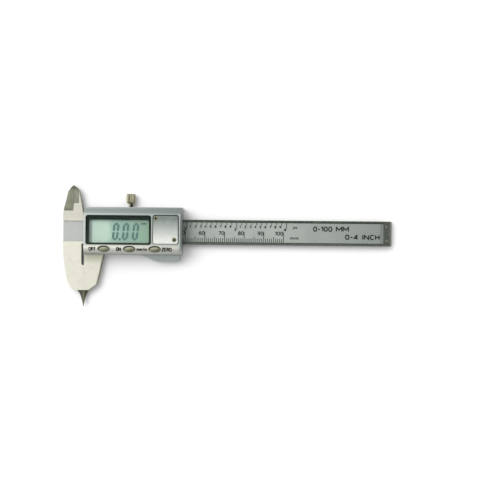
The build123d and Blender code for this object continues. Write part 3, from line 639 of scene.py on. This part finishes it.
def clear_lens():
    """Almost clear: a faint coat of reflections with a few hairline scratches and smudges."""
    mat = Mat("clear_lens")
    scratch = mat.scratches(stretch=(0.7, 4.0, 4.0), scale=0.5, low=0.66, high=0.72)
    smudge = mat.noise(scale=0.16, detail=3.0, rough=0.5)
    mat.bump(scratch, strength=0.05, distance=0.004)
    # a clean lens is 0.03 opaque; scratches and smudges add to it
    marks = mat.add(mat.mul(scratch, 0.008), mat.mul(mat.fade(smudge, 0.5, 0.75), 0.02))
    rough = mat.add(0.04, mat.mul(mat.fade(smudge, 0.45, 0.7), 0.08))
    mat.material.blend_method = "BLEND"
    return mat.finish(rgb(120, 140, 130), rough=rough, alpha=mat.add(0.03, marks), specular=0.5)


def board_laminate():
    mat = Mat("board_laminate")
    cells = mat.voronoi(scale=0.9, stretch=(1.0, 1.6, 1.0), feature="DISTANCE_TO_EDGE")
    traces = mat.fade(cells, 0.05, 0.03)
    color = mat.paint(rgb(26, 84, 50), rgb(48, 120, 74), traces, amount=0.6)
    pads = mat.fade(mat.voronoi(scale=0.55), 0.22, 0.19)
    color = mat.paint(color, rgb(206, 186, 116), pads)
    mat.bump(traces, strength=0.2, distance=0.02)
    return mat.finish(color, rough=mat.mix_values(pads, 0.35, 0.28), metal=mat.mul(pads, 0.8))


def rubber(name, base):
    mat = Mat(name)
    fine = mat.noise(scale=4.0, detail=4.0, rough=0.6)
    color = mat.paint(base, scaled(base, 0.7), fine, amount=0.6)
    mat.bump(fine, strength=0.25, distance=0.02)
    return mat.finish(color, rough=mat.spread(fine, 0.6, 0.8))


def lcd_segments():
    mat = Mat("lcd_segments")
    cell = mat.noise(scale=10.0, detail=2.0, rough=0.5)
    color = mat.paint(rgb(72, 108, 102), rgb(92, 126, 118), cell, amount=0.4)
    mat.bump(cell, strength=0.05, distance=0.003)
    return mat.finish(color, rough=0.3)


# ------------------------------------------------------------------ materials on the CAD pieces
# material, pieces that wear it
FINISHES = [
    (brushed("brushed_back_plate", rgb(168, 170, 166), rgb(196, 197, 192), -12.0, 12.0),
     ("back_plate", "end_stop")),
    (plain_metal("screw_steel", rgb(120, 117, 104), rgb(160, 157, 142)),
     ("back_plate_screws", "gib_screws", "cover_screws", "board_screws", "depth_rod_rivet")),
    (plain_metal("nickel_plate", rgb(186, 184, 174), rgb(214, 212, 204), metal=0.95),
     ("crystal", "battery_cell", "battery_contact_negative", "battery_contact_positive")),
    (black_plastic("black_border", rgb(14, 27, 21), rough=(0.45, 0.6), specular=0.12,
                   low=rgb(40, 50, 37)), ("display_bezel",)),
    (champagne_button(), ("button_power", "button_units", "button_zero")),
    (brass("pale_brass", knurled=True), ("lock_screw",)),
    (rubber("silicone_key_strip", rgb(142, 146, 142)), ("zebra_connectors",)),
    (ground_beam(), ("beam",)),
    (ground_slider(), ("slider_frame",)),
    (satin_housing(), ("front_cover",)),
    (brushed("brushed_battery_cover", rgb(129, 138, 134), rgb(234, 237, 230), -5.8, 6.2),
     ("battery_cover",)),
    (scale_face(), ("scale_label",)),
    (board_laminate(), ("scale_strip", "circuit_board")),
    (plain_metal("stop_screw_steel", rgb(96, 100, 92), rgb(140, 142, 132)),
     ("end_stop_screws",)),
    (cross_recess_screw(), ("battery_cover_screws",)),
    (brass("gib_brass", knurled=False), ("gib_strip",)),
    (clear_lens(), ("display_window",)),
    (reflective_lcd(), ("lcd_panel",)),
    (ink("reflector_film", rgb(176, 196, 180)), ("lcd_reflector",)),
    (black_plastic("holder_plastic", rgb(24, 26, 25), rough=(0.5, 0.65)), ("lcd_holder",)),
    (rubber("key_strip_silicone", rgb(46, 46, 42)), ("keypad",)),
    (black_plastic("epoxy_blob", rgb(18, 18, 18), rough=(0.25, 0.4)), ("chip_blob",)),
    (ink("ceramic_capacitor", rgb(168, 132, 92)), ("capacitors",)),
    (rubber("foam_pad", rgb(34, 34, 34)), ("battery_pad",)),
    (brushed("depth_rod_steel", rgb(170, 170, 162), rgb(200, 200, 192), -1.0, 1.0),
     ("depth_rod",)),
]
for material, pieces in FINISHES:
    for piece in pieces:
        materials = CAD[piece].data.materials
        materials.clear()
        materials.append(material)
        for material_slot in CAD[piece].material_slots:
            material_slot.link = "DATA"


# ------------------------------------------------------------------ print meshes
def flat(z):
    return lambda x, y: z


def cover_height(x, y):
    """Height of the cover's front surface, which rolls over along its lower edge."""
    center_y = COVER_LOW + COVER_ROUND
    if y >= center_y:
        return COVER_Z
    # stop short of the vertical end of the rounding
    drop = min(center_y - y, COVER_ROUND * 0.98)
    return COVER_Z - COVER_ROUND + math.sqrt(COVER_ROUND ** 2 - drop ** 2)


# where a print lies, the body it moves with and its material slot
ON_LABEL = {"height": flat(LABEL_Z), "body": "bar", "slot": "scale_print"}
ON_LCD = {"height": flat(LCD_Z), "body": "slider", "slot": "display_glass", "lift": 0.02}
ON_COVER = {"height": cover_height, "body": "slider", "slot": "satin_housing", "lift": 0.02}


def add_vert(bm, x, y, z):
    return bm.verts.new((x * MM, y * MM, z * MM))


def mesh_object(name, bm, material=None):
    mesh = bpy.data.meshes.new(name)
    bm.to_mesh(mesh)
    bm.free()
    if material:
        mesh.materials.append(material)
    obj = bpy.data.objects.new(name, mesh)
    bpy.context.scene.collection.objects.link(obj)
    return obj


def add_print(name, bm, material, body):
    bmesh.ops.recalc_face_normals(bm, faces=bm.faces)
    obj = mesh_object(name, bm, material)
    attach(obj, body)


def printed(name, outlines, material, height, body, slot, lift=PRINT_LIFT, thick=PRINT_THICK):
    """Each outline of (x, y) points becomes a thin raised print."""
    bm = bmesh.new()
    for outline in outlines:
        top = [add_vert(bm, x, y, height(x, y) + lift) for x, y in outline]
        low = [add_vert(bm, x, y, height(x, y) + lift - thick - PRINT_SINK)
               for x, y in outline]
        bm.faces.new(top)
        bm.faces.new(list(reversed(low)))
        for i in range(len(top)):
            j = (i + 1) % len(top)
            bm.faces.new((top[j], top[i], low[i], low[j]))
    add_print(name, bm, material, body)


def rect(x0, x1, y0, y1):
    return [(x0, y0), (x1, y0), (x1, y1), (x0, y1)]


def arc(center_x, center_y, radius_x, radius_y, start, end, steps, power=1.0):
    """Points on an ellipse, angles in degrees; power below 1 squares the curve off."""
    points = []
    for i in range(steps + 1):
        angle = math.radians(start + (end - start) * i / steps)
        cos, sin = math.cos(angle), math.sin(angle)
        points.append((center_x + radius_x * math.copysign(abs(cos) ** power, cos),
                       center_y + radius_y * math.copysign(abs(sin) ** power, sin)))
    return points


SMALL_M_ARCH = [(0.0, 0.46), (0.07, 0.63), (0.18, 0.68), (0.29, 0.62), (0.34, 0.45), (0.34, 0.0)]
# character: (width, strokes) on a unit cap height. Strokes are centre lines of (x, y) points;
# a closed one repeats its first point.
GLYPHS = {
    "0": (0.52, [arc(0.26, 0.5, 0.26, 0.5, 90, 450, 18, 0.82)]),
    "O": (0.62, [arc(0.31, 0.5, 0.31, 0.5, 90, 450, 18, 0.82)]),
    "1": (0.26, [[(0.0, 0.80), (0.26, 1.0), (0.26, 0.0)]]),
    "2": (0.50, [arc(0.25, 0.72, 0.25, 0.28, 165, -38, 9) + [(0.0, 0.0), (0.50, 0.0)]]),
    "3": (0.50, [arc(0.23, 0.76, 0.24, 0.24, 150, -80, 8),
                 arc(0.23, 0.27, 0.27, 0.27, 80, -150, 8)]),
    "4": (0.54, [[(0.42, 0.0), (0.42, 1.0), (0.0, 0.28), (0.54, 0.28)]]),
    "5": (0.50, [[(0.46, 1.0), (0.08, 1.0), (0.04, 0.55)],
                 arc(0.23, 0.32, 0.27, 0.31, 130, -150, 9)]),
    "6": (0.50, [arc(0.25, 0.30, 0.25, 0.30, 90, 450, 14),
                 [(0.0, 0.32), (0.04, 0.62), (0.18, 0.88), (0.42, 1.0)]]),
    "7": (0.50, [[(0.0, 1.0), (0.50, 1.0), (0.18, 0.0)]]),
    "8": (0.50, [arc(0.25, 0.76, 0.20, 0.24, 90, 450, 12),
                 arc(0.25, 0.27, 0.25, 0.27, 90, 450, 14)]),
    "9": (0.50, [arc(0.25, 0.70, 0.25, 0.30, 90, 450, 14),
                 [(0.50, 0.68), (0.46, 0.38), (0.32, 0.12), (0.08, 0.0)]]),
    " ": (0.30, []),
    "-": (0.30, [[(0.0, 0.45), (0.30, 0.45)]]),
    "/": (0.34, [[(0.0, 0.0), (0.34, 1.0)]]),
    "C": (0.56, [arc(0.30, 0.5, 0.30, 0.5, 48, 312, 14, 0.85)]),
    "E": (0.46, [[(0.46, 1.0), (0.0, 1.0), (0.0, 0.0), (0.46, 0.0)],
                 [(0.0, 0.52), (0.40, 0.52)]]),
    "F": (0.46, [[(0.46, 1.0), (0.0, 1.0), (0.0, 0.0)], [(0.0, 0.52), (0.40, 0.52)]]),
    "H": (0.56, [[(0.0, 0.0), (0.0, 1.0)], [(0.56, 0.0), (0.56, 1.0)],
                 [(0.0, 0.5), (0.56, 0.5)]]),
    "I": (0.0, [[(0.0, 0.0), (0.0, 1.0)]]),
    "M": (0.92, [[(0.0, 0.0), (0.0, 1.0), (0.46, 0.30), (0.92, 1.0), (0.92, 0.0)]]),
    "N": (0.66, [[(0.0, 0.0), (0.0, 1.0), (0.66, 0.0), (0.66, 1.0)]]),
    "R": (0.52, [[(0.0, 0.0), (0.0, 1.0), (0.28, 1.0), (0.44, 0.94), (0.50, 0.75),
                  (0.44, 0.55), (0.28, 0.48), (0.0, 0.48)], [(0.28, 0.48), (0.52, 0.0)]]),
    "Z": (0.52, [[(0.0, 1.0), (0.52, 1.0), (0.0, 0.0), (0.52, 0.0)]]),
    "i": (0.0, [[(0.0, 0.0), (0.0, 0.64)], [(0.0, 0.84), (0.0, 1.0)]]),
    "n": (0.42, [[(0.0, 0.0), (0.0, 0.68)],
                 [(0.0, 0.46), (0.09, 0.63), (0.24, 0.68), (0.37, 0.62), (0.42, 0.45),
                  (0.42, 0.0)]]),
    "m": (0.68, [[(0.0, 0.0), (0.0, 0.68)], SMALL_M_ARCH,
                 [(x + 0.34, y) for x, y in SMALL_M_ARCH]]),
}
GLYPH_GAP = 0.26


def text_strokes(text, x0, x1, y0, y1, width):
    """Centre lines of a text whose inked box is the given rectangle; width is the stroke's."""
    pen, lines = 0.0, []
    for character in text:
        advance, strokes = GLYPHS[character]
        lines += [[(pen + x, y) for x, y in stroke] for stroke in strokes]
        pen += advance + GLYPH_GAP
    all_x = [x for line in lines for x, y in line]
    all_y = [y for line in lines for x, y in line]
    left, low = min(all_x), min(all_y)
    scale_x = (x1 - x0 - width) / (max(all_x) - left)
    scale_y = (y1 - y0 - width) / (max(all_y) - low)
    return [[(x0 + width / 2 + (x - left) * scale_x, y0 + width / 2 + (y - low) * scale_y)
             for x, y in line] for line in lines]


def stroke_sides(line, width, longest=0.3):
    """Left and right edge points of a mitred stroke, cut up so that it can follow a curve."""
    points = [Vector(line[0])]
    for corner in line[1:]:
        start, corner = points[-1], Vector(corner)
        pieces = max(1, math.ceil((corner - start).length / longest))
        points += [start.lerp(corner, i / pieces) for i in range(1, pieces + 1)]
    closed = (points[0] - points[-1]).length < 1e-6
    steps = [(end - start).normalized() for start, end in zip(points, points[1:])]
    # direction into and out of each point; open ends use their only one
    incoming = [steps[-1] if closed else steps[0]] + steps
    outgoing = steps + [steps[0] if closed else steps[-1]]
    left, right = [], []
    for point, before, after in zip(points, incoming, outgoing):
        side = Vector((-before.y, before.x))
        mitre = side + Vector((-after.y, after.x))
        # a stroke that doubles back has no mitre
        mitre = mitre.normalized() if mitre.length > 1e-4 else side
        reach = min(1.7, 1.0 / max(0.2, mitre.dot(side))) * width / 2
        left.append(point + mitre * reach)
        right.append(point - mitre * reach)
    return left, right, closed


def lettering(name, items, material, height, body, slot, lift=PRINT_LIFT):
    """items: (text, x0, x1, y0, y1, stroke width). Every stroke is a thin raised band."""
    bm = bmesh.new()
    for item in items:
        width = item[-1]
        for line in text_strokes(*item):
            left, right, closed = stroke_sides(line, width)
            if closed:
                left.pop()
                right.pop()
            rows = []
            for one, other in zip(left, right):
                corners = ((one, 0.0), (other, 0.0),
                           (other, PRINT_THICK + PRINT_SINK), (one, PRINT_THICK + PRINT_SINK))
                rows.append([add_vert(bm, at.x, at.y, height(at.x, at.y) + lift - depth)
                             for at, depth in corners])
            if closed:
                rows.append(rows[0])
            for row, following in zip(rows, rows[1:]):
                for i in range(4):
                    j = (i + 1) % 4
                    bm.faces.new((row[i], row[j], following[j], following[i]))
            if not closed:
                bm.faces.new(rows[0])
                bm.faces.new(tuple(reversed(rows[-1])))
    add_print(name, bm, material, body)


# ------------------------------------------------------------------ printed scale and legends
SCALE_INK = ink("scale_ink", rgb(24, 29, 25))
BOLD_INK = ink("bold_ink", rgb(14, 17, 15))
LEGEND_INK = ink("legend_ink", rgb(24, 24, 20))
TICK_INSET = 0.05          # from the label's edge to a mark


def millimetre_marks():
    ticks = []
    for n in range(101):
        x = ZERO_X + n
        length = 5.3 if n % 10 == 0 else 2.85 if n % 5 == 0 else 2.05
        half = 0.19 if n % 10 == 0 else 0.18
        ticks.append(rect(x - half, x + half, LABEL_LOW + TICK_INSET, LABEL_LOW + length))
    printed("scale_marks_mm", ticks, SCALE_INK, **ON_LABEL)


def inch_marks():
    ticks = []
    for k in range(41):
        x = ZERO_X + TENTH_INCH * k
        length, half = (2.7, 0.18) if k % 10 == 0 else (1.25, 0.16)
        ticks.append(rect(x - half, x + half, LABEL_TOP - length, LABEL_TOP - TICK_INSET))
    printed("scale_marks_inch", ticks, SCALE_INK, **ON_LABEL)


def millimetre_numbers():
    items = []
    for n in range(10, 101, 10):
        right = ZERO_X + n - 0.1
        width = 4.3 if n == 100 else 3.05
        items.append((str(n), right - width, right, -1.36, 0.70, 0.44))
    lettering("scale_numbers_mm", items, SCALE_INK, **ON_LABEL)


def inch_numbers():
    items = []
    for k in range(1, 41):
        x = ZERO_X + TENTH_INCH * k
        inches, tenths = divmod(k, 10)
        if tenths == 0:
            items.append((str(inches), x - 1.4, x - 0.1, LABEL_TOP - 4.25, LABEL_TOP - 2.5, 0.46))
        else:
            right = x - (0.5 if tenths == 1 else 0.1)
            items.append((str(tenths), x - 1.15, right, LABEL_TOP - 2.75, LABEL_TOP - 1.3, 0.40))
    lettering("scale_numbers_inch", items, SCALE_INK, **ON_LABEL)


# text, x0, x1, y0, y1, stroke width
RANGE_TEXT = [
    ("0-100 MM", 116.9, 135.2, 0.8, 3.55, 0.62),
    ("0-4 INCH", 133.2, 150.9, -3.2, -0.42, 0.64),
]
UNIT_TEXT = [
    ("in", 106.6, 108.8, 1.8, 3.6, 0.46),
    ("mm", 105.2, 109.6, -3.5, -2.15, 0.40),
]
BUTTON_TEXT = [
    ("OFF", 3.95, 7.75, -10.05, -8.0, 0.50),
    ("ON", 17.7, 20.3, -10.05, -8.0, 0.50),
    ("mm/in", 28.0, 33.4, -10.0, -8.05, 0.40),
    ("ZERO", 40.5, 45.75, -10.05, -8.0, 0.50),
]
LCD_TEXT = [("mm", 30.1, 32.9, 3.0, 4.4, 0.34)]

millimetre_marks()
inch_marks()
millimetre_numbers()
inch_numbers()
lettering("scale_range_text", RANGE_TEXT, BOLD_INK, **ON_LABEL)
lettering("scale_unit_text", UNIT_TEXT, SCALE_INK, **ON_LABEL)
lettering("button_legends", BUTTON_TEXT, LEGEND_INK, **ON_COVER)


# ------------------------------------------------------------------ display digits, 0.00
DIGIT_LEFTS = (15.2, 20.15, 25.15)
DIGIT_Y, DIGIT_WIDTH, DIGIT_HEIGHT = -4.6, 3.25, 8.85
DIGIT_SLANT = 0.11         # shift in x per height
SEGMENT_WIDTH, SEGMENT_GAP = 1.22, 0.07
DECIMAL_POINT = [(18.75, -4.6), (19.85, -4.6), (19.95, -3.5), (18.85, -3.5)]


def zero_digit(left):
    """Outlines of the six lit segments of a seven-segment 0, clockwise from the top."""
    half = SEGMENT_WIDTH / 2
    near = half + SEGMENT_GAP
    right, top, middle = DIGIT_WIDTH - half, DIGIT_HEIGHT - half, DIGIT_HEIGHT / 2

    def slanted(points):
        return [(left + x + DIGIT_SLANT * y, DIGIT_Y + y) for x, y in points]

    def level(y):
        x0, x1 = near, DIGIT_WIDTH - near
        return slanted([(x0, y), (x0 + half, y + half), (x1 - half, y + half),
                        (x1, y), (x1 - half, y - half), (x0 + half, y - half)])

    def upright(x, y0, y1):
        return slanted([(x, y0), (x + half, y0 + half), (x + half, y1 - half),
                        (x, y1), (x - half, y1 - half), (x - half, y0 + half)])

    upper = (middle + SEGMENT_GAP, top - SEGMENT_GAP)
    lower = (near, middle - SEGMENT_GAP)
    return [level(top), upright(right, *upper), upright(right, *lower),
            level(half), upright(half, *lower), upright(half, *upper)]


SEGMENTS = lcd_segments()
digits = [outline for left in DIGIT_LEFTS for outline in zero_digit(left)]
printed("lcd_digits", digits + [DECIMAL_POINT], SEGMENTS, thick=0.02, **ON_LCD)
lettering("lcd_unit", LCD_TEXT, SEGMENTS, **ON_LCD)


# ------------------------------------------------------------------ stage, in metres
def stage_floor():
    half = 40.0
    below = 0.00002   # gap under the caliper
    bm = bmesh.new()
    bm.faces.new([bm.verts.new((x, y, 0)) for x, y in rect(-half, half, -half, half)])
    obj = mesh_object("floor", bm)
    obj.location = (0.07, 0, CAD_LOW.z - below)
    mat = Mat("floor_paper")
    soft = mat.noise(scale=0.02, detail=2.0, rough=0.5)
    color = mat.paint((0.90, 0.90, 0.90, 1.0), (0.885, 0.885, 0.888, 1.0), soft, amount=0.4)
    obj.data.materials.append(mat.finish(color, rough=0.9, specular=0.1))


def key_light():
    """Broad soft key with parallel rays, left out of mirror reflections."""
    toward = Vector((-0.46, 0.38, 0.84))   # upper left, in front
    light = bpy.data.lights.new("key_softbox", "SUN")
    light.energy = 1.55
    light.angle = math.radians(40.0)
    light.color = (1.0, 0.995, 0.985)
    obj = bpy.data.objects.new("key_softbox", light)
    obj.location = toward
    obj.rotation_euler = (-toward).to_track_quat("-Z", "Y").to_euler()
    bpy.context.scene.collection.objects.link(obj)
    obj.visible_glossy = False


def studio_world():
    """A white studio, brighter up and to the left of the caliper than down and to the right."""
    world = bpy.data.worlds.new("studio")
    bpy.context.scene.world = world
    world.use_nodes = True
    tree = world.node_tree
    tree.nodes.clear()
    new, link = tree.nodes.new, tree.links.new
    output = new("ShaderNodeOutputWorld")
    background = new("ShaderNodeBackground")
    coordinates = new("ShaderNodeTexCoord")
    toward_bright = new("ShaderNodeVectorMath")
    toward_bright.operation = "DOT_PRODUCT"
    toward_bright.inputs[1].default_value = Vector((-0.70, 0.71, 0.0)).normalized()
    link(coordinates.outputs["Generated"], toward_bright.inputs[0])
    ray = new("ShaderNodeLightPath")

    def gradient(dark, bright):
        node = new("ShaderNodeMapRange")
        node.interpolation_type = "SMOOTHSTEP"
        node.inputs["From Min"].default_value = -0.42
        node.inputs["From Max"].default_value = 0.45
        node.inputs["To Min"].default_value = dark
        node.inputs["To Max"].default_value = bright
        link(toward_bright.outputs["Value"], node.inputs["Value"])
        return node.outputs[0]

    def pick(flag, otherwise):
        node = new("ShaderNodeMix")
        node.data_type = "FLOAT"
        link(ray.outputs[flag], node.inputs[0])
        link(otherwise, node.inputs[2])
        return node

    # reflections see the strong gradient, soft light an even one, the camera plain white
    diffuse = pick("Is Diffuse Ray", otherwise=gradient(dark=0.34, bright=1.40))
    link(gradient(dark=0.58, bright=1.14), diffuse.inputs[3])
    camera = pick("Is Camera Ray", otherwise=diffuse.outputs[0])
    camera.inputs[3].default_value = 1.0
    background.inputs["Color"].default_value = (0.99, 0.995, 1.0, 1.0)
    link(camera.outputs[0], background.inputs["Strength"])
    link(background.outputs[0], output.inputs[0])


def overhead_camera():
    """Looks straight down, turned by about half a degree."""
    distance = 0.490
    view_width = 0.2547   # width seen at that distance
    target_z = 0.004
    camera = bpy.data.cameras.new("camera")
    camera.sensor_width = 36.0
    camera.lens = 36.0 * distance / view_width
    camera.clip_start = 0.01
    camera.clip_end = 20.0
    obj = bpy.data.objects.new("camera", camera)
    obj.location = (0.08487, -0.0088, target_z + distance)
    obj.rotation_euler = (0.0, 0.0, math.radians(0.556))
    bpy.context.scene.collection.objects.link(obj)
    bpy.context.scene.camera = obj


stage_floor()
key_light()
studio_world()
overhead_camera()

view = bpy.context.scene.view_settings
view.view_transform = "Standard"
view.look = "None"
view.exposure = 0.0
view.gamma = 1.0
